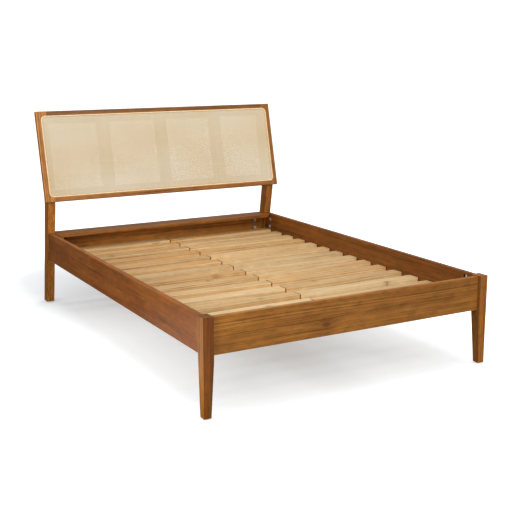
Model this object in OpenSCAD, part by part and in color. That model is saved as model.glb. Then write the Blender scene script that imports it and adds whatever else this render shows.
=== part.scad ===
// A wooden bed frame for one mattress, built from separate pieces.
// Four legs and four rails make the frame. Thirty pine slats lie on two cleats and a centre
// beam. The two rear legs bend and carry a leaning headboard with a woven cane panel.
//
// Millimetres. X runs across the bed, Y from the foot end to the head end, Z up.
// The origin is on the floor, under the middle of the bed's whole length and width.

/* [Mattress space] */
// clear width between the side rails
mattress_w = 1410; // [1200:10:1600]
// clear length between the foot rail and the cap at the head end
mattress_l = 1925; // [1900:5:1950]
// how far the slats lie below the top edges of the rails
slat_drop = 99; // [95:1:104]

/* [Rails] */
// height of the top edge of the rails
rail_top_z = 424; // [420:1:440]
// height of a rail board from edge to edge
rail_h = 160; // [155:1:170]
// thickness of a rail board
rail_t = 24; // [24:1:28]
// how far the legs stand proud of the rails
leg_proud = 11; // [8:1:14]

/* [Legs] */
// width of a front leg at the rails
front_leg_w = 48; // [46:1:56]
// width of a front leg at the floor
front_foot_w = 33; // [30:1:44]
// depth of a front leg at its top
front_leg_d = 59; // [54:1:60]
// depth of a front leg at the floor
front_foot_d = 36; // [30:1:38]
// how far a front leg stands above the rails
front_leg_step = 4; // [0:1:10]
// width of a rear leg across the bed
rear_leg_w = 42; // [40:1:50]
// depth of a rear leg at the floor
rear_foot_d = 58; // [50:1:66]
// depth of a rear leg at its bend
rear_bend_d = 68; // [60:1:76]
// depth of a rear leg at its upper end
rear_top_d = 48; // [40:1:56]
// forward rake of the lower half of a rear leg, in degrees
rear_rake = 10.5; // [9:0.5:12]

/* [Headboard] */
// how far the headboard runs past the rear legs on each side
headboard_overhang = 19; // [15:1:22]
// height of the headboard along its slope
headboard_h = 513; // [480:1:560]
// thickness of the headboard frame
headboard_t = 28; // [26:1:32]
// height of the headboard's lower front edge
headboard_z = 613; // [600:1:630]
// backward lean of the headboard, in degrees
headboard_lean = 13.6; // [12:0.2:15]
// width of the wood left showing round the cane
rim_w = 25; // [20:1:30]

/* [Slats] */
// rows of slats from foot to head
slat_rows = 15; // [12:1:16]
// width of a slat
slat_w = 66; // [60:1:70]
// thickness of a slat
slat_t = 23; // [18:1:24]

/* [Hidden] */
$fn = 48;
touch = 0.3;               // clearance between pieces that slide or turn in each other
sliver = 0.1;              // clearance between pieces that are glued or pressed together
over = 1;                  // how far a cutting shape runs past the surface it cuts

// frame
rail_bottom_z = rail_top_z - rail_h;
rail_in_x = mattress_w / 2;
rail_out_x = rail_in_x + rail_t;
bed_half_w = rail_out_x + leg_proud;
foot_rail_y = leg_proud;
foot_rail_in_y = foot_rail_y + rail_t;
cap_front_y = foot_rail_in_y + mattress_l;
taper_top_z = rail_bottom_z - 20;
front_leg_top_z = rail_top_z + front_leg_step;
function front_leg_back_y(z) = front_foot_d + (front_leg_d - front_foot_d) * z / front_leg_top_z;
pad_t = 3;
pad_r = 13;

// head end
cap_t = 20;
cap_depth = 116;
cap_gap_x = 3;
cap_corner_r = 30;
cap_back_y = cap_front_y + cap_depth;
head_rail_back_y = cap_back_y;
head_rail_front_y = head_rail_back_y - rail_t;

// rear legs: the lower front face passes the rail's bottom edge level with the head rail
rear_out_x = rail_out_x + 4;
rear_in_x = rear_out_x - rear_leg_w;
rear_floor_y = head_rail_front_y + rail_bottom_z * tan(rear_rake);
function rear_front_y(z) = rear_floor_y - z * tan(rear_rake);

// headboard: its back lies on the upper halves of the rear legs
headboard_w = 2 * (rear_out_x + headboard_overhang);
headboard_lift = 4.5;      // how far its back stands behind the line of the lower halves
headboard_y = rear_front_y(headboard_z) - headboard_t * cos(headboard_lean) + headboard_lift;
leg_top_v = headboard_h - 43;  // end of the rear leg, measured up the slope of the headboard
leg_front_bend_r = 30;
leg_back_bend_r = 160;
leg_tip_front_r = 8;
leg_tip_back_r = 20;
stile_w = 60;
cross_rail_w = 68;
bar_w = 78;
bar_pitch = 0.24 * headboard_w;
bar_t = 14;
bar_set_back = 8;
tenon_t = 10;
tenon_y = 11;
rail_tenon_l = 28;
rail_tenon_shoulder = 8;
bar_tenon_l = 15;
bar_tenon_shoulder = 6;
bar_tenon_y = bar_set_back + (bar_t - tenon_t) / 2;
cane_t = 2;
cane_corner_r = 26;
spline_w = 7;
spline_depth = 5;
spline_proud = 1;
cane_w = headboard_w - 2 * rim_w;
cane_h = headboard_h - 2 * rim_w;
bar_x = [-bar_pitch, 0, bar_pitch];

// whole length, from the front legs to the rear feet
bed_l = rear_floor_y + rear_foot_d;

// slatted base
slat_gap_x = 6;            // gap between the two columns of slats
slat_end_gap = 3;          // gap between a slat and the side rail
slat_l = rail_in_x - slat_end_gap - slat_gap_x / 2;
slat_first_y = foot_rail_in_y + 21;
slat_last_y = head_rail_front_y - 29 - slat_w;
slat_pitch = (slat_last_y - slat_first_y) / (slat_rows - 1);
slat_top_z = rail_top_z - slat_drop;
slat_bottom_z = slat_top_z - slat_t;
tape_w = 25;
tape_t = 0.8;
tape_inset = 100;          // from each end of a slat to the nearer tape
steel_t = 2.5;
beam_w = 60;
beam_clear = 0.5;          // how far the stirrups stay above the rails' bottom edges
beam_h = slat_bottom_z - rail_bottom_z - steel_t - beam_clear;
beam_bottom_z = slat_bottom_z - beam_h;
cleat_w = 25;
support_step = 3;          // how much lower than the beam the cleats and stirrup cheeks are
cleat_h = beam_h - support_step;
cleat_start_y = front_leg_d + 10;
cleat_end_y = head_rail_front_y - 20;

// stirrups
hanger_seat = 40;
hanger_cheek_h = beam_h - support_step;
hanger_ear_w = 24;
hanger_screw_l = 16;

// centre leg and glide
centre_leg_w = 42;
glide_travel = 12;
glide_disc_t = 8;
glide_disc_r = 19;
glide_hex_t = 6;
glide_hex_r = 7.5;
glide_stud_r = 4;
glide_stud_top_z = 60;
centre_leg_z = glide_disc_t + glide_hex_t + glide_travel + touch;
spigot_r = 10;
spigot_l = 25;
centre_leg_y = (foot_rail_in_y + head_rail_front_y) / 2;

// rail joints
pocket_r = 13;
pocket_depth = 19;
pocket_from_leg = 58;
washer_r = pocket_r - touch;
washer_t = 15;
washer_flat = 2;           // the washer's flat lies this far past the pocket's middle
bolt_r = 4;
bolt_head_r = 7.5;
bolt_head_t = 5.5;
bolt_into_leg = 30;
side_front_bolt_z = [rail_top_z - 82, rail_top_z - 22];
side_rear_bolt_z = [rail_top_z - 84, rail_top_z - 35];
cross_bolt_z = [rail_top_z - 96, rail_top_z - 48];

// headboard bolts
leg_bolt_v = [70, 225, 400];
leg_bolt_head_r = 7;
leg_bolt_head_t = 4;
leg_bolt_sink = 7;
leg_bolt_into_stile = 16;
bore_spare = 2;            // how much deeper a blind bore is than its bolt

// wood screws
screw_r = 2;
screw_head_r = 4;
screw_head_t = 3;
screw_into_rail = 14;
cleat_screws = 10;

stain = [0.48, 0.28, 0.13];
pine = [0.82, 0.67, 0.45];
cane = [0.83, 0.75, 0.60];
reed = [0.90, 0.80, 0.62];
steel = [0.72, 0.72, 0.74];
felt = [0.25, 0.22, 0.20];
webbing = [0.90, 0.89, 0.85];
plastic = [0.12, 0.12, 0.12];

function row_name(row) = str(row < 10 ? "0" : "", row);
slat_names = [for (side = ["left", "right"], row = [1 : slat_rows]) str("slat_", side, "_", row_name(row))];

// ---- placing -------------------------------------------------------------------------------

// Modules measure Y from the front faces of the front legs. This moves them to the origin.
module on_bed() {
    translate([0, -bed_l / 2, 0]) children();
}

// Headboard axes: X across, Y from the front face into the thickness, Z up the slope.
module on_headboard() {
    on_bed() translate([0, headboard_y, headboard_z]) rotate([-headboard_lean, 0, 0]) children();
}

// A box given by its low and high corners.
module block(low, high) {
    translate(low) cube(high - low);
}

module rounded_slab(w, h, r, y_low, y_high) {
    for (cut = [[w, h - 2 * r], [w - 2 * r, h]])
        block([-cut[0] / 2, y_low, -cut[1] / 2], [cut[0] / 2, y_high, cut[1] / 2]);
    for (x = [-1, 1], z = [-1, 1])
        translate([x * (w / 2 - r), y_low, z * (h / 2 - r)])
            rotate([-90, 0, 0])
                cylinder(r = r, h = y_high - y_low);
}

// ---- rail joints ---------------------------------------------------------------------------

// Every rail joint is drawn with the bolt along +X, the leg starting at X = 0, and the pocket
// opening towards -Y in a board that lies from Y = 0 to Y = rail_t.
module joint_cut() {
    translate([-pocket_from_leg, -over, 0])
        rotate([-90, 0, 0])
            cylinder(r = pocket_r, h = pocket_depth + over);
    translate([-pocket_from_leg, rail_t / 2, 0])
        rotate([0, 90, 0])
            cylinder(r = bolt_r + touch, h = pocket_from_leg + over);
}

module leg_bore() {
    translate([-over, rail_t / 2, 0])
        rotate([0, 90, 0])
            cylinder(r = bolt_r + touch, h = bolt_into_leg + bore_spare + over);
}

module half_moon_washer() {
    difference() {
        translate([-pocket_from_leg, touch, 0])
            rotate([-90, 0, 0])
                cylinder(r = washer_r, h = washer_t);
        block(
            [-pocket_from_leg - pocket_r - over, -over, -pocket_r - over],
            [-pocket_from_leg + washer_flat, washer_t + 2 * over, pocket_r + over]
        );
        translate([-pocket_from_leg, rail_t / 2, 0])
            rotate([0, 90, 0])
                cylinder(r = bolt_r + touch, h = pocket_from_leg);
    }
}

module joint_bolt() {
    head_x = -pocket_from_leg + washer_flat - bolt_head_t - sliver;
    translate([head_x, rail_t / 2, 0]) {
        rotate([0, 90, 0]) cylinder(r = bolt_head_r, h = bolt_head_t, $fn = 6);
        rotate([0, 90, 0]) cylinder(r = bolt_r, h = bolt_into_leg - head_x);
    }
}

// The joints of one side rail with its front and rear leg. side is -1 for left, 1 for right.
module at_side_joints(side) {
    for (z = side_front_bolt_z)
        translate([side * rail_in_x, front_leg_back_y(z), z])
            rotate([0, 0, -90]) mirror([0, side < 0 ? 1 : 0, 0]) children();
    for (z = side_rear_bolt_z)
        translate([side * rail_in_x, rear_front_y(z), z])
            rotate([0, 0, 90]) mirror([0, side > 0 ? 1 : 0, 0]) children();
}

// The joints of the foot rail with the front legs.
module at_foot_joints() {
    for (side = [-1, 1], z = cross_bolt_z)
        translate([side * (bed_half_w - front_leg_w), foot_rail_in_y, z])
            mirror([side < 0 ? 1 : 0, 0, 0])
                mirror([0, 1, 0])
                    children();
}

// The joints of the head rail with the rear legs.
module at_head_joints() {
    for (side = [-1, 1], z = cross_bolt_z)
        translate([side * rear_in_x, head_rail_front_y, z])
            mirror([side < 0 ? 1 : 0, 0, 0])
                children();
}

// ---- legs ----------------------------------------------------------------------------------

module front_leg(side) {
    color(stain) on_bed() difference() {
        intersection() {
            translate([0, front_leg_d, 0]) rotate([90, 0, 0])
                linear_extrude(height = front_leg_d) front_leg_front(side);
            rotate([90, 0, 90]) translate([0, 0, -bed_half_w - over])
                linear_extrude(height = 2 * (bed_half_w + over)) front_leg_profile();
        }
        at_side_joints(side) leg_bore();
        at_foot_joints() leg_bore();
    }
}

// A front leg seen from the front: straight at the rails, then tapering on its inner edge.
module front_leg_front(side) {
    polygon([
        [side * bed_half_w, pad_t],
        [side * (bed_half_w - front_foot_w), pad_t],
        [side * (bed_half_w - front_leg_w), taper_top_z],
        [side * (bed_half_w - front_leg_w), front_leg_top_z],
        [side * bed_half_w, front_leg_top_z]
    ]);
}

// A front leg seen from the side: its back edge slopes forward all the way down.
module front_leg_profile() {
    polygon([
        [0, pad_t],
        [front_leg_back_y(pad_t), pad_t],
        [front_leg_back_y(front_leg_top_z), front_leg_top_z],
        [0, front_leg_top_z]
    ]);
}

// The point where two lines in the side view meet. Each is a point and a direction.
function meet(p, u, q, v) =
    let (t = ((q[0] - p[0]) * v[1] - (q[1] - p[1]) * v[0]) / (u[0] * v[1] - u[1] * v[0])) p + t * u;

// Points of an arc of radius r that rounds the corner c between directions u (in) and v (out).
function rounded_corner(c, u, v, r, steps) =
    let (
        turn = acos(u * v),
        start = c - u * r * tan(turn / 2),
        hand = (u[0] * v[1] - u[1] * v[0]) > 0 ? 1 : -1,
        centre = start + hand * r * [-u[1], u[0]]
    )
    [for (i = [0 : steps])
        let (a = hand * turn * i / steps, d = start - centre)
        centre + [d[0] * cos(a) - d[1] * sin(a), d[0] * sin(a) + d[1] * cos(a)]];

// Side view of a rear leg: raked forward below, leaning back behind the headboard above.
module rear_leg_outline() {
    up_low = [-sin(rear_rake), cos(rear_rake)];
    up_high = [sin(headboard_lean), cos(headboard_lean)];
    across = [cos(headboard_lean), -sin(headboard_lean)];
    seat = [headboard_y, headboard_z] + (headboard_t + sliver) * across;
    front_bend = meet([rear_floor_y, 0], up_low, seat, up_high);
    top_front = seat + leg_top_v * up_high;
    top_back = top_front + rear_top_d * across;
    back_bend = front_bend + [rear_bend_d, 0];
    back_low = [rear_floor_y + rear_foot_d, 0];
    back_low_dir = (back_bend - back_low) / norm(back_bend - back_low);
    back_high_dir = (top_back - back_bend) / norm(top_back - back_bend);
    floor_front = [rear_floor_y - pad_t * tan(rear_rake), pad_t];
    floor_back = back_low + back_low_dir * pad_t / back_low_dir[1];
    polygon(concat(
        [floor_front],
        rounded_corner(front_bend, up_low, up_high, leg_front_bend_r, 6),
        rounded_corner(top_front, up_high, across, leg_tip_front_r, 6),
        rounded_corner(top_back, across, -back_high_dir, leg_tip_back_r, 8),
        rounded_corner(back_bend, -back_high_dir, -back_low_dir, leg_back_bend_r, 12),
        [floor_back]
    ));
}

module rear_leg(side) {
    color(stain) difference() {
        on_bed() translate([side > 0 ? rear_in_x : -rear_out_x, 0, 0])
            rotate([90, 0, 90])
                linear_extrude(height = rear_leg_w) rear_leg_outline();
        on_bed() {
            at_side_joints(side) leg_bore();
            at_head_joints() leg_bore();
        }
        on_headboard()
            for (v = leg_bolt_v) at_leg_bolt(side, v) leg_bolt_cut(v);
    }
}

// ---- rails ---------------------------------------------------------------------------------

module side_rail(side) {
    color(stain) on_bed() difference() {
        translate([side > 0 ? rail_in_x : -rail_out_x, 0, 0])
            rotate([90, 0, 90])
                linear_extrude(height = rail_t)
                    polygon([
                        [front_leg_back_y(rail_bottom_z) + sliver, rail_bottom_z],
                        [rear_front_y(rail_bottom_z) - sliver, rail_bottom_z],
                        [rear_front_y(rail_top_z) - sliver, rail_top_z],
                        [front_leg_back_y(rail_top_z) + sliver, rail_top_z]
                    ]);
        at_side_joints(side) joint_cut();
        at_cleat_screws(side) screw_bore();
    }
}

module foot_rail() {
    half = bed_half_w - front_leg_w;
    color(stain) on_bed() difference() {
        block([-half, foot_rail_y, rail_bottom_z], [half, foot_rail_in_y, rail_top_z]);
        at_foot_joints() joint_cut();
        at_hanger_screws() screw_bore();
    }
}

module head_rail() {
    half = rear_in_x - sliver;
    color(stain) on_bed() difference() {
        block([-half, head_rail_front_y, rail_bottom_z], [half, head_rail_back_y, rail_top_z - cap_t]);
        at_head_joints() joint_cut();
        at_hanger_screws() screw_bore();
    }
}

// The cap covers the head rail. Its front strip passes in front of the legs.
module head_cap() {
    half = rail_in_x - cap_gap_x;
    low_z = rail_top_z - cap_t;
    leg_y = rear_front_y(rail_top_z) - over;
    color(stain) on_bed() {
        difference() {
            block([-half, cap_front_y, low_z], [half, cap_back_y, rail_top_z]);
            for (side = [-1, 1]) {
                block(
                    [side > 0 ? rear_in_x - over : -half - over, leg_y, low_z - over],
                    [side > 0 ? half + over : -rear_in_x + over, cap_back_y + over, rail_top_z + over]
                );
                cap_corner_cut(side, half, low_z);
            }
        }
    }
}

module cap_corner_cut(side, half, low_z) {
    corner_x = half - cap_corner_r;
    mirror([side < 0 ? 1 : 0, 0, 0]) difference() {
        block(
            [corner_x, cap_front_y - over, low_z - over],
            [half + over, cap_front_y + cap_corner_r, rail_top_z + over]
        );
        translate([corner_x, cap_front_y + cap_corner_r, low_z - 2 * over])
            cylinder(r = cap_corner_r, h = cap_t + 4 * over);
    }
}

// ---- slatted base --------------------------------------------------------------------------

module cleat(side) {
    color(pine) on_bed() difference() {
        block(
            [side > 0 ? rail_in_x - cleat_w : -rail_in_x, cleat_start_y, slat_bottom_z - cleat_h],
            [side > 0 ? rail_in_x : -rail_in_x + cleat_w, cleat_end_y, slat_bottom_z]
        );
        at_cleat_screws(side) screw_bore();
    }
}

// Screws run out through the cleat into the rail. They are drawn along +Z from the head.
module at_cleat_screws(side) {
    for (i = [0 : cleat_screws - 1])
        translate([
            side * (rail_in_x - cleat_w),
            cleat_start_y + (i + 0.5) * (cleat_end_y - cleat_start_y) / cleat_screws,
            slat_bottom_z - cleat_h / 2
        ])
            rotate([0, side * 90, 0])
                children();
}

hanger_screw_x = beam_w / 2 + steel_t + hanger_ear_w / 2;
hanger_screw_z = slat_bottom_z - beam_h / 2;

module at_hanger_screws() {
    for (x = [-hanger_screw_x, hanger_screw_x]) {
        translate([x, foot_rail_in_y + steel_t, hanger_screw_z]) rotate([90, 0, 0]) children();
        translate([x, head_rail_front_y - steel_t, hanger_screw_z]) rotate([-90, 0, 0]) children();
    }
}

module centre_beam() {
    color(pine) on_bed() difference() {
        block(
            [-beam_w / 2, foot_rail_in_y + steel_t + touch, beam_bottom_z],
            [beam_w / 2, head_rail_front_y - steel_t - touch, slat_bottom_z]
        );
        translate([0, centre_leg_y, beam_bottom_z - over])
            cylinder(r = spigot_r + touch, h = spigot_l + bore_spare + over);
    }
}

// A stirrup hangs on a rail with two ears and carries the end of the beam.
module beam_hanger() {
    half = beam_w / 2 + sliver;
    low_z = beam_bottom_z - steel_t;
    high_z = beam_bottom_z + hanger_cheek_h;
    difference() {
        union() {
            block(
                [-half - steel_t - hanger_ear_w, 0, low_z],
                [half + steel_t + hanger_ear_w, steel_t, high_z]
            );
            block([-half - steel_t, 0, low_z], [half + steel_t, hanger_seat, beam_bottom_z]);
            for (x = [-half - steel_t, half])
                block([x, 0, low_z], [x + steel_t, hanger_seat, high_z]);
        }
        for (side = [-1, 1])
            translate([side * hanger_screw_x, steel_t, hanger_screw_z])
                rotate([90, 0, 0])
                    screw_bore();
    }
}

module beam_hangers() {
    color(steel) on_bed() {
        translate([0, foot_rail_in_y, 0]) beam_hanger();
        translate([0, head_rail_front_y, 0]) mirror([0, 1, 0]) beam_hanger();
    }
}

module slat(side, row) {
    y = slat_first_y + (row - 1) * slat_pitch;
    x = side > 0 ? slat_gap_x / 2 : -slat_gap_x / 2 - slat_l;
    color(pine) on_bed() block([x, y, slat_bottom_z], [x + slat_l, y + slat_w, slat_top_z]);
}

module slat_tapes() {
    end_y = slat_first_y + (slat_rows - 1) * slat_pitch + slat_w;
    color(webbing) on_bed()
        for (side = [-1, 1], x = [slat_gap_x / 2 + tape_inset, slat_gap_x / 2 + slat_l - tape_inset])
            block(
                [side * x - tape_w / 2, slat_first_y, slat_bottom_z - tape_t],
                [side * x + tape_w / 2, end_y, slat_bottom_z]
            );
}

// ---- centre support ------------------------------------------------------------------------

module centre_leg() {
    half = centre_leg_w / 2;
    bore_top_z = glide_stud_top_z + glide_travel + bore_spare;
    color(stain) on_bed() translate([0, centre_leg_y, 0]) difference() {
        union() {
            block([-half, -half, centre_leg_z], [half, half, beam_bottom_z]);
            translate([0, 0, beam_bottom_z]) cylinder(r = spigot_r, h = spigot_l);
        }
        translate([0, 0, centre_leg_z - over])
            cylinder(r = glide_stud_r + touch, h = bore_top_z - centre_leg_z + over);
    }
}

module centre_glide() {
    color(plastic) on_bed() translate([0, centre_leg_y, 0]) {
        cylinder(r = glide_disc_r, h = glide_disc_t);
        translate([0, 0, glide_disc_t]) cylinder(r = glide_hex_r, h = glide_hex_t, $fn = 6);
        translate([0, 0, glide_disc_t]) cylinder(r = glide_stud_r, h = glide_stud_top_z - glide_disc_t);
    }
}

module floor_pads() {
    rear_mid_y = rear_floor_y + rear_foot_d / 2;
    color(felt) on_bed()
        for (side = [-1, 1]) {
            translate([side * (bed_half_w - front_foot_w / 2), front_foot_d / 2, 0])
                cylinder(r = pad_r, h = pad_t);
            translate([side * (rear_in_x + rear_leg_w / 2), rear_mid_y, 0])
                cylinder(r = pad_r, h = pad_t);
        }
}

// ---- headboard -----------------------------------------------------------------------------

// The shallow bed for the cane and the deeper groove for the spline, cut into the frame.
module cane_seat() {
    translate([0, 0, headboard_h / 2]) {
        rounded_slab(cane_w, cane_h, cane_corner_r, -over, cane_t);
        spline_ring(cane_t - over, spline_depth);
    }
}

module spline_ring(y_low, y_high) {
    difference() {
        rounded_slab(cane_w, cane_h, cane_corner_r, y_low, y_high);
        rounded_slab(
            cane_w - 2 * spline_w, cane_h - 2 * spline_w, cane_corner_r - spline_w,
            y_low - over, y_high + over
        );
    }
}

module headboard_stile(side) {
    low_x = side > 0 ? headboard_w / 2 - stile_w : -headboard_w / 2;
    color(stain) on_headboard() difference() {
        block([low_x, 0, 0], [low_x + stile_w, headboard_t, headboard_h]);
        for (rail_z = [0, headboard_h - cross_rail_w])
            cross_rail_tenons(rail_z, sliver);
        cane_seat();
        for (v = leg_bolt_v) at_leg_bolt(side, v) leg_bolt_cut(v);
    }
}

// The tongue that runs the length of a cross rail and ends as a tenon in each stile.
// The same shape, grown by the clearance, cuts the mortises.
module cross_rail_tenons(low_z, clearance) {
    half = headboard_w / 2 - stile_w + rail_tenon_l + clearance;
    block(
        [-half, tenon_y - clearance, low_z + rail_tenon_shoulder - clearance],
        [half, tenon_y + tenon_t + clearance, low_z + cross_rail_w - rail_tenon_shoulder + clearance]
    );
}

module headboard_cross_rail(low_z) {
    half = headboard_w / 2 - stile_w;
    color(stain) on_headboard() difference() {
        union() {
            block([-half, 0, low_z], [half, headboard_t, low_z + cross_rail_w]);
            cross_rail_tenons(low_z, 0);
        }
        for (x = bar_x) bar_tongue(x, sliver);
        cane_seat();
    }
}

// The tongue inside an upright bar. Its ends are the tenons in the cross rails.
module bar_tongue(x, clearance) {
    half = bar_w / 2 - bar_tenon_shoulder + clearance;
    end = bar_tenon_l + clearance;
    block(
        [x - half, bar_tenon_y - clearance, cross_rail_w - end],
        [x + half, bar_tenon_y + tenon_t + clearance, headboard_h - cross_rail_w + end]
    );
}

module headboard_bar(x) {
    color(stain) on_headboard() {
        block(
            [x - bar_w / 2, bar_set_back, cross_rail_w],
            [x + bar_w / 2, bar_set_back + bar_t, headboard_h - cross_rail_w]
        );
        bar_tongue(x, 0);
    }
}

module cane_panel() {
    color(cane) on_headboard() translate([0, 0, headboard_h / 2])
        rounded_slab(
            cane_w - 2 * (spline_w + sliver), cane_h - 2 * (spline_w + sliver),
            cane_corner_r - spline_w - sliver, sliver, cane_t
        );
}

module cane_spline() {
    color(reed) on_headboard() translate([0, 0, headboard_h / 2])
        difference() {
            rounded_slab(
                cane_w - 2 * sliver, cane_h - 2 * sliver, cane_corner_r - sliver,
                -spline_proud, spline_depth - sliver
            );
            rounded_slab(
                cane_w - 2 * spline_w + 2 * sliver, cane_h - 2 * spline_w + 2 * sliver,
                cane_corner_r - spline_w + sliver, -spline_proud - over, spline_depth + over
            );
        }
}

// ---- fasteners -----------------------------------------------------------------------------

// Bolts from behind through a rear leg into the stile. Drawn along -Y, the leg's back at Y = 0.
module at_leg_bolt(side, v) {
    translate([side * (rear_in_x + rear_leg_w / 2), headboard_t + leg_depth_at(v), v])
        children();
}

// Depth of a rear leg behind the headboard, square to the slope.
function leg_depth_at(v) =
    let (full = rear_bend_d * cos(headboard_lean)) full + (rear_top_d - full) * v / leg_top_v;

module leg_bolt_cut(v) {
    rotate([90, 0, 0]) {
        translate([0, 0, -leg_bolt_sink]) cylinder(r = leg_bolt_head_r + touch, h = 2 * leg_bolt_sink);
        cylinder(r = bolt_r + touch, h = leg_depth_at(v) + leg_bolt_into_stile + bore_spare);
    }
}

module leg_bolt(v) {
    rotate([90, 0, 0]) translate([0, 0, leg_bolt_sink]) {
        translate([0, 0, -leg_bolt_head_t]) cylinder(r = leg_bolt_head_r, h = leg_bolt_head_t);
        cylinder(r = bolt_r, h = leg_depth_at(v) - leg_bolt_sink + leg_bolt_into_stile);
    }
}

module headboard_bolts() {
    color(steel) on_headboard()
        for (side = [-1, 1], v = leg_bolt_v)
            at_leg_bolt(side, v) leg_bolt(v);
}

module half_moon_washers() {
    color(steel) on_bed() at_all_joints() half_moon_washer();
}

module joint_bolts() {
    color(steel) on_bed() at_all_joints() joint_bolt();
}

module at_all_joints() {
    at_side_joints(-1) children();
    at_side_joints(1) children();
    at_foot_joints() children();
    at_head_joints() children();
}

module screw_bore() {
    translate([0, 0, -over]) cylinder(r = screw_r + sliver, h = cleat_w + screw_into_rail + over);
    translate([0, 0, -over]) cylinder(r = screw_head_r + sliver, h = screw_head_t + over);
}

module wood_screw(length) {
    cylinder(r = screw_head_r, h = screw_head_t - sliver);
    cylinder(r = screw_r, h = length);
}

module wood_screws() {
    color(steel) on_bed() {
        for (side = [-1, 1]) at_cleat_screws(side) wood_screw(cleat_w + screw_into_rail - bore_spare);
        at_hanger_screws() wood_screw(hanger_screw_l);
    }
}

// ---- the bed -------------------------------------------------------------------------------

front_leg(-1);  // front_leg_left
front_leg(1);  // front_leg_right
rear_leg(-1);  // rear_leg_left
rear_leg(1);  // rear_leg_right
side_rail(-1);  // side_rail_left
side_rail(1);  // side_rail_right
foot_rail();
head_rail();
head_cap();
cleat(-1);  // cleat_left
cleat(1);  // cleat_right
centre_beam();
beam_hangers();
centre_leg();
centre_glide();
slat_tapes();
headboard_stile(-1);  // headboard_stile_left
headboard_stile(1);  // headboard_stile_right
headboard_cross_rail(headboard_h - cross_rail_w);  // headboard_top_rail
headboard_cross_rail(0);  // headboard_bottom_rail
headboard_bar(bar_x[0]);  // headboard_bar_left
headboard_bar(bar_x[1]);  // headboard_bar_centre
headboard_bar(bar_x[2]);  // headboard_bar_right
cane_panel();
cane_spline();
half_moon_washers();
joint_bolts();
headboard_bolts();
wood_screws();
floor_pads();
for (row = [1 : slat_rows]) {
    slat(-1, row);
    slat(1, row);
}
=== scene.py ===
"""A wooden bed frame with a cane headboard: materials, soft edges, studio light and camera.

Everything is in metres in the part's own frame: +X to the right seen from the foot end, +Y towards
the headboard, +Z up, with the origin on the floor under the middle of the bed.
"""

import math
import random

import bpy
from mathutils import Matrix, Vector


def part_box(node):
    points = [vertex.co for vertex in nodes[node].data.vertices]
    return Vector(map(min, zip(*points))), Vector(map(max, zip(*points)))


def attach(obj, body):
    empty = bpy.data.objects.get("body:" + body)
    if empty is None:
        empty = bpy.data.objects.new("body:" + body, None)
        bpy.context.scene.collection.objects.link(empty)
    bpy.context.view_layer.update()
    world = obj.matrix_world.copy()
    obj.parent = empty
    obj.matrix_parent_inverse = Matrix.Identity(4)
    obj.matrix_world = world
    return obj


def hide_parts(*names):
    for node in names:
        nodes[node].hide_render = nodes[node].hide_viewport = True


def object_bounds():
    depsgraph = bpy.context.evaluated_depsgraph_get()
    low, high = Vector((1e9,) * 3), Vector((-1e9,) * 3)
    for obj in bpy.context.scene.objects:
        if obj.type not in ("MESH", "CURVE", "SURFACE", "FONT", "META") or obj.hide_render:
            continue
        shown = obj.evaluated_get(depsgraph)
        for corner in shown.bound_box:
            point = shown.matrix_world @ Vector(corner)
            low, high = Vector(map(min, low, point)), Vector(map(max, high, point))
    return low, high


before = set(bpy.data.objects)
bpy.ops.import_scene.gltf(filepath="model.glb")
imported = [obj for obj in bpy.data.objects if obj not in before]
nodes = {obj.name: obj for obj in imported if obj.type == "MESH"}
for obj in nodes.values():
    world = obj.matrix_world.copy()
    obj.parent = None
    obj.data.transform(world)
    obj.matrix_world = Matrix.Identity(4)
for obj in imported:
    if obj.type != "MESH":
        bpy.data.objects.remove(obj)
cad_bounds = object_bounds()
DRAW_SEED = 11
draw = random.Random(DRAW_SEED)

# ---- the pieces, grouped by what they are made of -------------------------------------------

# The headboard's lean, the thickness of the woven cane and the radius of its corners.
HEADBOARD_LEAN = math.radians(13.6)
CANE_DEPTH = 0.0019
CANE_CORNER = 0.0189

# Turns a piece's own grain direction onto the texture's X axis.
GRAIN_ACROSS = (0.0, 0.0, 0.0)
GRAIN_LENGTHWISE = (0.0, 0.0, -math.pi / 2)
GRAIN_UPRIGHT = (0.0, math.pi / 2, 0.0)
GRAIN_LEANING = (HEADBOARD_LEAN, math.pi / 2, 0.0)

# Grain direction, how light the piece is, and its cast: from 0 to 1 the stained wood goes from
# golden to red, and the pine from orange to pale.
STAINED = {
    "front_leg_left": (GRAIN_UPRIGHT, 0.66, 0.7),
    "front_leg_right": (GRAIN_UPRIGHT, 1.22, 0.3),
    "rear_leg_left": (GRAIN_UPRIGHT, 1.38, 0.2),
    "rear_leg_right": (GRAIN_UPRIGHT, 1.05, 0.4),
    "side_rail_left": (GRAIN_LENGTHWISE, 0.92, 0.8),
    "side_rail_right": (GRAIN_LENGTHWISE, 0.72, 0.6),
    "foot_rail": (GRAIN_ACROSS, 1.14, 0.05),
    "head_rail": (GRAIN_ACROSS, 1.12, 0.3),
    "head_cap": (GRAIN_ACROSS, 0.84, 0.4),
    "centre_leg": (GRAIN_UPRIGHT, 0.85, 0.4),
    "headboard_stile_left": (GRAIN_LEANING, 1.45, 0.1),
    "headboard_stile_right": (GRAIN_LEANING, 0.85, 0.3),
    "headboard_top_rail": (GRAIN_ACROSS, 0.68, 0.2),
    "headboard_bottom_rail": (GRAIN_ACROSS, 1.00, 0.2),
    "headboard_bar_left": (GRAIN_LEANING, 1.10, 0.3),
    "headboard_bar_centre": (GRAIN_LEANING, 1.20, 0.1),
    "headboard_bar_right": (GRAIN_LEANING, 1.10, 0.3),
}
# How much lighter (or darker, below 0) a leg is on its two side faces than on its front, and the change in
# its cast: partly the rings lying the other way there, partly painted light and shade matched to how each
# face is lit.
LEG_SIDE_GRAIN_AND_LIGHT = {
    "front_leg_left": (0.80, -0.5),
    "front_leg_right": (-0.40, 0.0),
    "rear_leg_left": (-0.25, 0.0),
    "rear_leg_right": (-0.25, 0.0),
}
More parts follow.
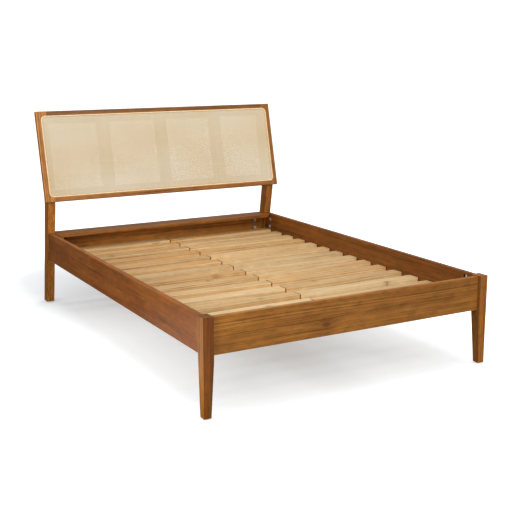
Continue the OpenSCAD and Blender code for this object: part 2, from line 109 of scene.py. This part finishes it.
# The same for a slat's two long edges, lighter and more orange: painted light on the edges that lie in
# shade between the slats.
SLAT_EDGE_LIGHT = (0.28, -0.15)
SIDES_ALIKE = (0.0, 0.0)
PINE_FRAME = {
    "cleat_left": (GRAIN_LENGTHWISE, 0.95, 0.3),
    "cleat_right": (GRAIN_LENGTHWISE, 0.95, 0.5),
    "centre_beam": (GRAIN_LENGTHWISE, 0.90, 0.4),
}
STEEL = ("beam_hangers", "half_moon_washers", "joint_bolts", "headboard_bolts", "wood_screws")
slats = sorted(name for name in nodes if name.startswith(("slat_left", "slat_right")))


def colour(red, green, blue):
    """A scene-linear colour from the 0 to 255 values a screen shows."""

    def linear(value):
        share = value / 255
        return share / 12.92 if share <= 0.04045 else ((share + 0.055) / 1.055) ** 2.4

    return (linear(red), linear(green), linear(blue), 1.0)


CANE_PALE = colour(192, 179, 155)
CANE_YELLOW = colour(185, 165, 131)

# How wide the edges of the pieces are rounded, in metres.
STAINED_EDGE = 0.0020
FRAME_EDGE = 0.0015
SLAT_EDGE = 0.0016
REED_EDGE = 0.0020
STEEL_EDGE = 0.0004
WEBBING_EDGE = 0.0002
FELT_EDGE = 0.0006
GLIDE_EDGE = 0.0008

# ---- shader building ------------------------------------------------------------------------


class Graph:
    """Adds nodes to one material. The methods that make a value return its output socket."""

    def __init__(self, name):
        self.material = bpy.data.materials.new(name)
        self.material.use_nodes = True
        self.tree = self.material.node_tree
        self.shader = self.tree.nodes["Principled BSDF"]

    def add(self, kind, inputs=(), **settings):
        node = self.tree.nodes.new(kind)
        for key, value in settings.items():
            setattr(node, key, value)
        for key, value in dict(inputs).items():
            self.feed(node.inputs[key], value)
        return node

    def feed(self, socket, value):
        if isinstance(value, bpy.types.NodeSocket):
            self.tree.links.new(value, socket)
        elif value is not None:
            socket.default_value = value[:3] if socket.type == "VECTOR" else value

    def set(self, socket_name, value):
        self.feed(self.shader.inputs[socket_name], value)

    def math(self, operation, a, b=None, c=None, clamp=False):
        node = self.add("ShaderNodeMath", operation=operation, use_clamp=clamp)
        for socket, value in zip(node.inputs, (a, b, c)):
            self.feed(socket, value)
        return node.outputs[0]

    def vector_math(self, operation, a, b=None):
        node = self.add("ShaderNodeVectorMath", operation=operation)
        self.feed(node.inputs[0], a)
        self.feed(node.inputs[1], b)
        return node.outputs["Value" if operation == "LENGTH" else "Vector"]

    def split(self, vector):
        return self.add("ShaderNodeSeparateXYZ", {"Vector": vector}).outputs[:]

    def join(self, x, y, z):
        return self.add("ShaderNodeCombineXYZ", {"X": x, "Y": y, "Z": z}).outputs[0]

    def place(self):
        """The point on the piece, in metres in the part's frame."""
        return self.add("ShaderNodeTexCoord").outputs["Object"]

    def facing(self):
        """The way the surface faces, in the part's frame."""
        return self.add("ShaderNodeTexCoord").outputs["Normal"]

    def own(self, name, output="Fac"):
        """A value the piece itself carries as a custom property."""
        node = self.add("ShaderNodeAttribute", attribute_type="OBJECT", attribute_name=name)
        return node.outputs[output]

    def turned(self, vector, rotation):
        """A point or direction turned about the origin."""
        inputs = {"Vector": vector, "Rotation": rotation}
        return self.add("ShaderNodeMapping", inputs, vector_type="POINT").outputs[0]

    def noise(self, vector, stretch, detail=2.0, roughness=0.5):
        """Noise from 0 to 1 that repeats about stretch times a metre along each axis."""
        scaled = self.vector_math("MULTIPLY", vector, stretch)
        inputs = {"Vector": scaled, "Scale": 1.0, "Detail": detail, "Roughness": roughness}
        return self.add("ShaderNodeTexNoise", inputs).outputs["Fac"]

    def line_noise(self, position, detail, roughness):
        """Noise from 0 to 1 along a line, for bands that are never quite even."""
        inputs = {"W": position, "Scale": 1.0, "Detail": detail, "Roughness": roughness}
        return self.add("ShaderNodeTexNoise", inputs, noise_dimensions="1D").outputs["Fac"]

    def around_one(self, pattern, share):
        """A factor that a 0 to 1 pattern moves to either side of 1."""
        return self.math("MULTIPLY_ADD", self.math("SUBTRACT", pattern, 0.5), share * 2, 1.0)

    def spread(self, value, low, high, to_low=0.0, to_high=1.0, smooth=False):
        """A value stretched so that low becomes to_low and high becomes to_high, and cut off there."""
        inputs = {"Value": value, "From Min": low, "From Max": high, "To Min": to_low, "To Max": to_high}
        kind = "SMOOTHSTEP" if smooth else "LINEAR"
        return self.add("ShaderNodeMapRange", inputs, interpolation_type=kind).outputs[0]

    def ramp(self, factor, stops):
        """A colour read off a row of stops, each a position from 0 to 1 and a colour."""
        node = self.add("ShaderNodeValToRGB", {"Fac": factor})
        points = node.color_ramp.elements
        while len(points) < len(stops):
            points.new(1.0)
        for point, (position, shade) in zip(points, stops):
            point.position = position
            point.color = shade
        return node.outputs["Color"]

    def mix(self, factor, a, b):
        node = self.add("ShaderNodeMix", data_type="RGBA")
        for name, value in (("Factor_Float", factor), ("A_Color", a), ("B_Color", b)):
            self.feed(next(s for s in node.inputs if s.identifier == name), value)
        return next(s for s in node.outputs if s.identifier == "Result_Color")

    def scaled_colour(self, shade, factor):
        """A colour made lighter or darker by a factor that may vary over the surface."""
        return self.vector_math("MULTIPLY", shade, self.join(factor, factor, factor))

    def bump(self, height, depth, strength):
        """Roughens the surface by a pattern that would be depth metres high at full strength."""
        inputs = {"Height": height, "Distance": depth, "Strength": strength}
        self.set("Normal", self.add("ShaderNodeBump", inputs).outputs["Normal"])


def knot_share(g, place, name, size):
    """1 in the heart of one of the piece's knots, fading to 0 at size from it. A knot runs through."""
    heart_share = 0.25
    away = g.vector_math("SUBTRACT", place, g.own(name, "Vector"))
    reach = g.vector_math("MULTIPLY", away, g.own("knot_plane", "Vector"))
    return g.spread(g.vector_math("LENGTH", reach), size * heart_share, size, 1.0, 0.0, smooth=True)


def ring_shade(g, board, pull, shades, ring_gap):
    """Growth rings round a heart that wanders along the board and bends round the knots."""
    wander, wobble, bend = 0.06, 0.004, 0.010
    _, across, through = g.split(board)
    reach = g.vector_math("LENGTH", g.join(0.0, across, through))
    slow = g.math("MULTIPLY_ADD", g.noise(board, (0.5, 3.0, 3.0), 1.0), wander, reach)
    ripple = g.math("MULTIPLY_ADD", g.noise(board, (1.6, 25.0, 25.0), 2.0), wobble, slow)
    distance = g.math("MULTIPLY_ADD", pull, bend, ripple)
    rings = g.line_noise(g.math("DIVIDE", distance, ring_gap), 3.0, 0.7)
    return g.ramp(rings, shades)


def wood(
    name, shades, other_shade, knot_shade, *, knot_size, ring_gap, figure, blotches, mottle, veins, gloss
):
    """Sawn wood in three dimensions: growth rings, streaks, fibres, dark veins, blotches and knots.

    Rings lie about ring_gap metres apart. figure, blotches, mottle and veins say how strongly each
    pattern shows, and gloss is the roughness of the finish.
    """
    knot_pull, knot_reach, knot_dark, end_dark = 0.20, 3.0, 0.6, 0.25
    facing_from, facing_to = 0.5, 0.9
    g = Graph(name)
    place = g.place()
    seed = g.own("grain_seed")
    along = g.turned(place, g.own("grain_turn", "Vector"))
    shift = g.join(*(g.math("MULTIPLY", seed, stride) for stride in (1.7, 0.31, 0.23)))
    board = g.vector_math("ADD", along, shift)

    around_knots, knot_hearts = (
        [knot_share(g, place, knot, size) for knot in ("knot_a", "knot_b")]
        for size in (knot_reach * knot_size, knot_size)
    )
    pull = g.math("ADD", *around_knots)
    heart = g.math("MAXIMUM", *knot_hearts)
    shade = ring_shade(g, board, pull, shades, ring_gap)

    # streaks, fibres and veins along the grain, and slow blotches where the stain took differently
    streaks = g.noise(board, (0.9, 150.0, 150.0), 3.0, 0.7)
    fibres = g.noise(board, (9.0, 600.0, 600.0), 2.0, 0.6)
    blotch = g.noise(board, (4.0, 9.0, 9.0), 2.0)
    clouds = g.noise(board, (22.0, 45.0, 45.0), 3.0, 0.6)
    vein = g.spread(g.noise(board, (1.8, 150.0, 150.0), 1.0), 0.60, 0.68, smooth=True)
    tone = g.around_one(streaks, 1.4 * figure)
    for pattern, share in ((fibres, figure), (blotch, blotches), (clouds, mottle)):
        tone = g.math("MULTIPLY", tone, g.around_one(pattern, share))
    for pattern, share in ((vein, veins), (pull, knot_pull)):
        tone = g.math("MULTIPLY", tone, g.math("MULTIPLY_ADD", pattern, -share, 1.0))
    # the darker the wood, the warmer: green falls faster than red, and blue faster still
    warmed = g.join(tone, g.math("POWER", tone, 1.2), g.math("POWER", tone, 1.5))

    # the piece's own lightness and cast, with painted light and shade on its side faces (on the legs partly
    # the rings lying the other way)
    to_side = g.vector_math("LENGTH", g.vector_math("MULTIPLY", g.facing(), g.own("side_axis", "Vector")))
    side_light_mask = g.spread(to_side, facing_from, facing_to)
    tone_with_side_light = g.math("MULTIPLY", g.own("tone"), g.math("MULTIPLY_ADD", side_light_mask, g.own("side_change"), 1.0))
    cast = g.math("MULTIPLY_ADD", side_light_mask, g.own("side_cast"), g.own("cast"))
    cast = g.math("ADD", cast, g.spread(clouds, 0.3, 0.7, -mottle, mottle), clamp=True)
    shade = g.vector_math("MULTIPLY", g.mix(cast, shade, other_shade), warmed)
    shade = g.scaled_colour(shade, tone_with_side_light)

    # knots, and the end grain, which takes more stain
    along_facing = g.split(g.turned(g.facing(), g.own("grain_turn", "Vector")))[0]
    end_grain = g.spread(g.math("ABSOLUTE", along_facing), facing_from, facing_to)
    dark = g.math("MAXIMUM", g.math("MULTIPLY", heart, knot_dark), g.math("MULTIPLY", end_grain, end_dark))
    shade = g.mix(dark, shade, knot_shade)

    g.set("Base Color", shade)
    g.set("Roughness", g.spread(fibres, 0.2, 0.8, gloss - 0.05, gloss + 0.07))
    g.bump(g.math("SUBTRACT", fibres, vein), 0.0002, 0.4)
    g.shader.inputs["Specular IOR Level"].default_value = 0.22
    return g.material


def stained_wood():
    shades = (
        (0.30, colour(108, 65, 20)),
        (0.45, colour(131, 83, 28)),
        (0.60, colour(142, 93, 35)),
        (0.75, colour(155, 107, 48)),
    )
    red, dark = colour(138, 75, 24), colour(62, 30, 10)
    return wood(
        "stained_wood", shades, red, dark, knot_size=0.016, ring_gap=0.007,
        figure=0.38, blotches=0.35, mottle=0.48, veins=0.35, gloss=0.42,
    )


def pine():
    shades = (
        (0.34, colour(160, 96, 40)),
        (0.45, colour(190, 140, 82)),
        (0.56, colour(201, 162, 108)),
        (0.70, colour(208, 178, 134)),
    )
    pale, dark = colour(206, 182, 140), colour(84, 42, 12)
    return wood(
        "pine", shades, pale, dark, knot_size=0.008, ring_gap=0.005,
        figure=0.25, blotches=0.12, mottle=0.08, veins=0.25, gloss=0.50,
    )


def cane():
    """Split cane: a pale bark with fine lengthwise fibres, each strand a little lighter or darker."""
    g = Graph("cane")
    place = g.turned(g.place(), g.own("strand_turn", "Vector"))
    strands = g.noise(place, (2.0, 20.0, 230.0), 1.0)
    fibres = g.noise(place, (15.0, 200.0, 1500.0), 2.0)
    nodes_of_growth = g.noise(place, (30.0, 60.0, 230.0), 1.0)
    shade = g.ramp(g.noise(g.place(), (2.0, 2.0, 3.0), 1.0), ((0.3, CANE_PALE), (0.7, CANE_YELLOW)))
    tone = g.around_one(strands, 0.14)
    for pattern, share in ((fibres, 0.10), (nodes_of_growth, 0.10)):
        tone = g.math("MULTIPLY", tone, g.around_one(pattern, share))
    g.set("Base Color", g.scaled_colour(shade, tone))
    g.set("Roughness", g.spread(fibres, 0.3, 0.7, 0.45, 0.6))
    g.shader.inputs["Specular IOR Level"].default_value = 0.3
    return g.material


def reed():
    """The round reed pressed into the groove round the cane."""
    g = Graph("reed")
    fibres = g.noise(g.place(), (160.0, 160.0, 160.0), 3.0)
    g.set("Base Color", g.ramp(fibres, ((0.3, colour(206, 168, 118)), (0.7, colour(232, 205, 160)))))
    g.set("Roughness", 0.5)
    g.bump(fibres, 0.0002, 0.4)
    return g.material


def steel():
    """Dull zinc plating."""
    g = Graph("steel")
    fine = g.noise(g.place(), (900.0, 900.0, 900.0), 2.0)
    g.set("Base Color", g.ramp(fine, ((0.35, colour(200, 202, 205)), (0.65, colour(225, 226, 230)))))
    g.shader.inputs["Metallic"].default_value = 0.7
    g.set("Roughness", g.spread(fine, 0.3, 0.7, 0.38, 0.50))
    return g.material


def cloth(name, shade, threads):
    """Plain woven or pressed cloth with a fine even texture, of so many threads to the metre."""
    g = Graph(name)
    fuzz = g.noise(g.place(), (threads, threads, threads), 3.0)
    g.set("Base Color", g.scaled_colour(shade, g.spread(fuzz, 0.25, 0.75, 0.8, 1.1)))
    g.set("Roughness", 0.9)
    g.bump(fuzz, 0.0004, 0.6)
    return g.material


def plastic():
    g = Graph("glide_plastic")
    fine = g.noise(g.place(), (700.0, 700.0, 700.0), 2.0)
    g.set("Base Color", g.ramp(fine, ((0.3, colour(28, 28, 29)), (0.7, colour(36, 36, 38)))))
    g.set("Roughness", g.spread(fine, 0.3, 0.7, 0.45, 0.6))
    g.bump(fine, 0.0001, 0.3)
    return g.material


# ---- giving the pieces their shape and finish -----------------------------------------------


def soften(piece, radius, segments=3):
    """Rounds a CAD piece's sharp edges, after joining its triangles into whole flat faces."""
    same_point = 0.00001
    same_plane = math.radians(0.5)
    sharp_edge = math.radians(40)
    weld = piece.modifiers.new("weld", "WELD")
    weld.merge_threshold = same_point
    flat = piece.modifiers.new("flat", "DECIMATE")
    flat.decimate_type = "DISSOLVE"
    flat.angle_limit = same_plane
    bevel = piece.modifiers.new("bevel", "BEVEL")
    bevel.width = radius
    bevel.segments = segments
    bevel.limit_method = "ANGLE"
    bevel.angle_limit = sharp_edge
    bevel.use_clamp_overlap = True
    normals = piece.modifiers.new("normals", "WEIGHTED_NORMAL")
    normals.weight = 100


def finish_piece(name, material, radius, segments=3):
    piece = nodes[name]
    piece.data.materials.clear()
    piece.data.materials.append(material)
    soften(piece, radius, segments)
    return piece


# A knot so far away that it never shows.
NO_KNOT = (9.0, 9.0, 9.0)


def grain(piece, turn, tone, cast, knots=(NO_KNOT, NO_KNOT), knot_plane=(0.6, 1.0, 0.0)):
    """What the wood material reads from the piece: grain direction, lightness, cast and knots.

    knot_plane scales the distance from a knot along each axis: at 0 the knot runs right through.
    """
    is_slat = piece.name in slats
    piece["grain_turn"] = turn
    piece["grain_seed"] = draw.uniform(0.2, 1.0)
    piece["tone"] = tone
    piece["cast"] = cast
    piece["side_axis"] = (0.0, 1.0, 0.0) if is_slat else (1.0, 0.0, 0.0)
    # painted light and shade on the side faces (on the legs partly the rings' direction)
    side_light = SLAT_EDGE_LIGHT if is_slat else LEG_SIDE_GRAIN_AND_LIGHT.get(piece.name, SIDES_ALIKE)
    piece["side_change"], piece["side_cast"] = side_light
    piece["knot_a"], piece["knot_b"] = knots
    piece["knot_plane"] = knot_plane


def finish_boards():
    """The stained boards and legs. The foot rail has a knot low down, left of its middle."""
    knot_left, knot_up = 0.150, 0.050
    stained = stained_wood()
    for name, look in STAINED.items():
        grain(finish_piece(name, stained, STAINED_EDGE), *look)
    low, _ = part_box("foot_rail")
    foot_knot = (-knot_left, low.y, low.z + knot_up)
    grain(nodes["foot_rail"], *STAINED["foot_rail"], (foot_knot, NO_KNOT), (0.5, 0.0, 1.0))


def finish_base():
    """The pine under the mattress. Slats nearer the foot are a little lighter and paler: a painted sheen.
    """
    knot_chance = 0.3
    tones, sheen_lighter_at_foot = (0.80, 0.93), 0.10
    casts, sheen_paler_at_foot = (-0.15, 0.35), 0.6
    foot_y, head_y = cad_bounds[0].y, cad_bounds[1].y
    bare = pine()
    for name, look in PINE_FRAME.items():
        grain(finish_piece(name, bare, FRAME_EDGE), *look)
    for name in slats:
        low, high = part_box(name)
        knot = (draw.uniform(low.x, high.x), draw.uniform(low.y, high.y), 0.0)
        knots = (knot if draw.random() < knot_chance else NO_KNOT, NO_KNOT)
        near_foot = (head_y - low.y) / (head_y - foot_y)
        # painted sheen: lighter and paler towards the foot
        tone = draw.uniform(*tones) * (1.0 - sheen_lighter_at_foot * (1.0 - near_foot))
        cast = draw.uniform(*casts) + sheen_paler_at_foot * near_foot
        grain(finish_piece(name, bare, SLAT_EDGE), GRAIN_ACROSS, tone, cast, knots)


def weave_cane(material):
    """The cane as it is woven: flat strands over and under each other, glued into the groove all round."""
    strand_pitch = 0.0045
    strand_width = 0.0037
    strand_rise = 0.0007
    swing = 0.00055
    sharp_edge = math.radians(60)

    low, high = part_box("cane_panel")
    up = Vector((0.0, math.sin(HEADBOARD_LEAN), math.cos(HEADBOARD_LEAN)))
    back = Vector((0.0, math.cos(HEADBOARD_LEAN), -math.sin(HEADBOARD_LEAN)))
    across = Vector((1.0, 0.0, 0.0))
    centre = (low + high) / 2
    half_w = (high.x - low.x) / 2
    half_h = (high.z - low.z - CANE_DEPTH * math.sin(HEADBOARD_LEAN)) / 2 / math.cos(HEADBOARD_LEAN)
    points, faces = [], []

    def half_length(offset, half_side, half_other):
        """Half the length of a strand that lies offset from the middle, inside the rounded corners."""
        into_corner = max(0.0, abs(offset) - (half_side - CANE_CORNER))
        return half_other - CANE_CORNER + math.sqrt(max(0.0, CANE_CORNER**2 - into_corner**2))

    def strand(offset, half, along, beside, row, first_side):
        """One strand: a flat back and a low ridge in front, swinging to the other side at each crossing."""
        side_axis = beside * (strand_width / 2)
        middle = centre + beside * offset
        count = int(2 * half / strand_pitch) + 2
        start = len(points)
        crossings = [(k + 0.5) * strand_pitch for k in range(-count, count)]
        stops = [(t, k) for k, t in enumerate(crossings) if abs(t) < half - strand_pitch / 2]
        for t, k in [(-half, stops[0][1] - 1), *stops, (half, stops[-1][1] + 1)]:
            way = swing if (k + count + row + first_side) % 2 else -swing
            spot = middle + along * t + back * way
            points.extend((spot - side_axis + back * (strand_rise / 2), spot - back * (strand_rise / 2)))
            points.append(spot + side_axis + back * (strand_rise / 2))
        sections = len(stops) + 2
        for i in range(sections - 1):
            a, b = start + 3 * i, start + 3 * (i + 1)
            faces.extend(((a, a + 1, b + 1, b), (a + 1, a + 2, b + 2, b + 1), (a + 2, a, b, b + 2)))
        end = start + 3 * (sections - 1)
        faces.extend(((start, start + 2, start + 1), (end, end + 1, end + 2)))

    def layer(name, half_side, half_other, along, beside, first_side, turn):
        points.clear()
        faces.clear()
        rows = int(half_side / strand_pitch - 0.2)
        for row in range(-rows, rows):
            offset = (row + 0.5) * strand_pitch
            strand(offset, half_length(offset, half_side, half_other), along, beside, row, first_side)
        mesh = bpy.data.meshes.new(name)
        mesh.from_pydata([tuple(p) for p in points], [], faces)
        mesh.shade_smooth()
        mesh.set_sharp_from_angle(angle=sharp_edge)
        mesh.materials.append(material)
        piece = bpy.data.objects.new(name, mesh)
        piece["strand_turn"] = turn
        bpy.context.scene.collection.objects.link(piece)
        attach(piece, "bed")
        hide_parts("cane_panel")

    layer("cane_crosswise", half_h, half_w, across, up, 0, (HEADBOARD_LEAN, 0.0, 0.0))
    layer("cane_upright", half_w, half_h, up, across, 1, GRAIN_LEANING)


def finish_the_rest():
    """Cane, reed, steel, webbing, felt and plastic."""
    weave_cane(cane())
    finish_piece("cane_spline", reed(), REED_EDGE)
    metal = steel()
    for name in STEEL:
        finish_piece(name, metal, STEEL_EDGE, segments=2)
    webbing = cloth("webbing", colour(226, 224, 216), threads=700.0)
    felt = cloth("felt", colour(70, 62, 56), threads=900.0)
    finish_piece("slat_tapes", webbing, WEBBING_EDGE, segments=1)
    finish_piece("floor_pads", felt, FELT_EDGE, segments=2)
    finish_piece("centre_glide", plastic(), GLIDE_EDGE, segments=2)


# ---- studio ---------------------------------------------------------------------------------


def floor():
    """A white sweep whose emission paints a soft shadow under the bed and behind it; the rest glows pure
    white.
    """
    shade_shift = 0.03
    shade_behind = 0.8
    rounding = 0.4
    fade_inside, fade_outside = 0.52, 0.4
    painted_light_under, painted_light_at_edge, painted_light_far = 0.34, 0.76, 1.36
    weaker_from, weaker_past_back, share_behind = 0.2, 0.2, 0.5
    shadow_reach, darkest_openness, darkest_share = 0.5, 0.4, 0.6

    bpy.ops.mesh.primitive_plane_add(size=80.0, location=(0.0, 0.0, 0.0))
    sheet = bpy.context.object
    sheet.name = "studio_floor"
    sheet.visible_glossy = False
    sheet.visible_diffuse = False
    g = Graph("studio_floor")
    g.set("Base Color", (0.74, 0.78, 0.82, 1.0))
    g.set("Roughness", 1.0)
    g.set("Emission Color", (1.0, 1.0, 1.0, 1.0))
    g.shader.inputs["Specular IOR Level"].default_value = 0.0

    # how far each point is past the edge of the rounded painted shadow, and below 0 inside it
    front, back = cad_bounds[0].y, cad_bounds[1].y
    x, y, _ = g.split(g.place())
    past_x = g.math("SUBTRACT", g.math("ABSOLUTE", g.math("SUBTRACT", x, shade_shift)), cad_bounds[1].x)
    past_y = g.math("MAXIMUM", g.math("SUBTRACT", front, y), g.math("SUBTRACT", y, back + shade_behind))
    inset_x, inset_y = (g.math("ADD", past, rounding) for past in (past_x, past_y))
    inside = g.math("MINIMUM", g.math("MAXIMUM", inset_x, inset_y), 0.0)
    round_corner = g.join(g.math("MAXIMUM", inset_x, 0.0), g.math("MAXIMUM", inset_y, 0.0), 0.0)
    outside = g.math("SUBTRACT", g.vector_math("LENGTH", round_corner), rounding)
    past_edge = g.math("ADD", inside, outside)

    # the floor's emission paints the light and shadow: it grows from under the bed outwards, is weaker
    # behind it, and is darkened close to the feet as a painted contact shadow
    painted_light = g.spread(past_edge, -fade_inside, 0.0, painted_light_under, painted_light_at_edge)
    painted_light = g.math("MULTIPLY", painted_light, g.spread(y, weaker_from, back + weaker_past_back, 1.0, share_behind))
    painted_light = g.math("ADD", painted_light, g.spread(past_edge, 0.0, fade_outside, 0.0, painted_light_far - painted_light_at_edge))
    openness = g.add("ShaderNodeAmbientOcclusion", {"Distance": shadow_reach}, samples=8).outputs["AO"]
    painted_contact_shadow = g.spread(openness, darkest_openness, 1.0, darkest_share, 1.0)
    g.set("Emission Strength", g.math("MULTIPLY", painted_light, painted_contact_shadow))
    sheet.data.materials.append(g.material)
    return sheet


def softbox(name, place, aim, size, power, unlit=None):
    """A rectangular lamp of size metres and power watts at place, facing aim. It leaves unlit dark."""
    data = bpy.data.lights.new(name, "AREA")
    data.shape = "RECTANGLE"
    data.size, data.size_y = size
    data.energy = power
    lamp = bpy.data.objects.new(name, data)
    lamp.location = place
    lamp.rotation_euler = (Vector(aim) - Vector(place)).to_track_quat("-Z", "Y").to_euler()
    lamp.visible_camera = False
    bpy.context.scene.collection.objects.link(lamp)
    if unlit:
        left_out = bpy.data.collections.new(name + "_left_out")
        left_out.objects.link(unlit)
        left_out.collection_objects[0].light_linking.link_state = "EXCLUDE"
        lamp.light_linking.receiver_collection = left_out
    return lamp


def surroundings():
    """A studio seen as pure white, which lights the bed softly and looks dark in its gloss."""
    fill, in_gloss, seen = 0.40, 0.08, 1.1
    world = bpy.data.worlds.new("studio")
    bpy.context.scene.world = world
    world.use_nodes = True
    tree = world.node_tree
    tree.nodes.clear()
    path = tree.nodes.new("ShaderNodeLightPath")
    output = tree.nodes.new("ShaderNodeOutputWorld")
    shown = background(tree, fill)
    for ray, strength in (("Is Glossy Ray", in_gloss), ("Is Camera Ray", seen)):
        choice = tree.nodes.new("ShaderNodeMixShader")
        tree.links.new(path.outputs[ray], choice.inputs["Fac"])
        tree.links.new(shown, choice.inputs[1])
        tree.links.new(background(tree, strength), choice.inputs[2])
        shown = choice.outputs[0]
    tree.links.new(shown, output.inputs["Surface"])


def background(tree, strength):
    node = tree.nodes.new("ShaderNodeBackground")
    node.inputs["Color"].default_value = (1.0, 1.0, 1.0, 1.0)
    node.inputs["Strength"].default_value = strength
    return node.outputs[0]


def light(sheet):
    """Soft lamps all round, and three cards that show only in the gloss of the rails and legs."""
    softbox("overhead", (0.0, 0.3, 4.0), (0.0, 0.0, 0.0), (3.5, 3.5), 90.0)
    softbox("front", (0.4, -4.8, 4.0), (0.0, 0.2, 0.4), (3.0, 2.0), 210.0, sheet)
    softbox("left", (-2.6, -1.6, 1.0), (-0.7, -0.8, 0.3), (1.0, 0.8), 42.0, sheet)
    softbox("right", (4.0, -0.6, 1.2), (0.7, 0.0, 0.3), (2.0, 1.5), 75.0, sheet)
    back = softbox("back", (-1.4, 4.8, 1.4), (0.0, 1.0, 0.5), (2.5, 1.5), 110.0, sheet)
    back.visible_glossy = False
    by_rail = softbox("floor_by_rail", (-1.4, -0.3, 0.01), (-1.4, -0.3, 1.0), (0.9, 1.2), 4.5, sheet)
    by_foot = softbox("floor_by_foot", (0.3, -2.0, 0.01), (0.3, -2.0, 1.0), (2.4, 0.8), 5.0, sheet)
    wall = softbox("rear_wall", (3.4, 4.0, 1.7), (1.5, 0.0, 0.3), (5.8, 2.0), 13.0, sheet)
    for card in (by_rail, by_foot, wall):
        card.visible_diffuse = False


def camera():
    """From the front left, above the top of the headboard, looking slightly down."""
    turn, tilt = -29.46, 77.32
    data = bpy.data.cameras.new("camera")
    data.sensor_width = 36.0
    data.lens = 66.71
    data.clip_end = 200.0
    eye = bpy.data.objects.new("camera", data)
    eye.location = (-2.3435, -4.3838, 1.4849)
    eye.rotation_euler = (math.radians(tilt), 0.0, math.radians(turn))
    bpy.context.scene.collection.objects.link(eye)
    bpy.context.scene.camera = eye


finish_boards()
finish_base()
finish_the_rest()
surroundings()
light(floor())
camera()
bpy.context.scene.view_settings.view_transform = "Standard"
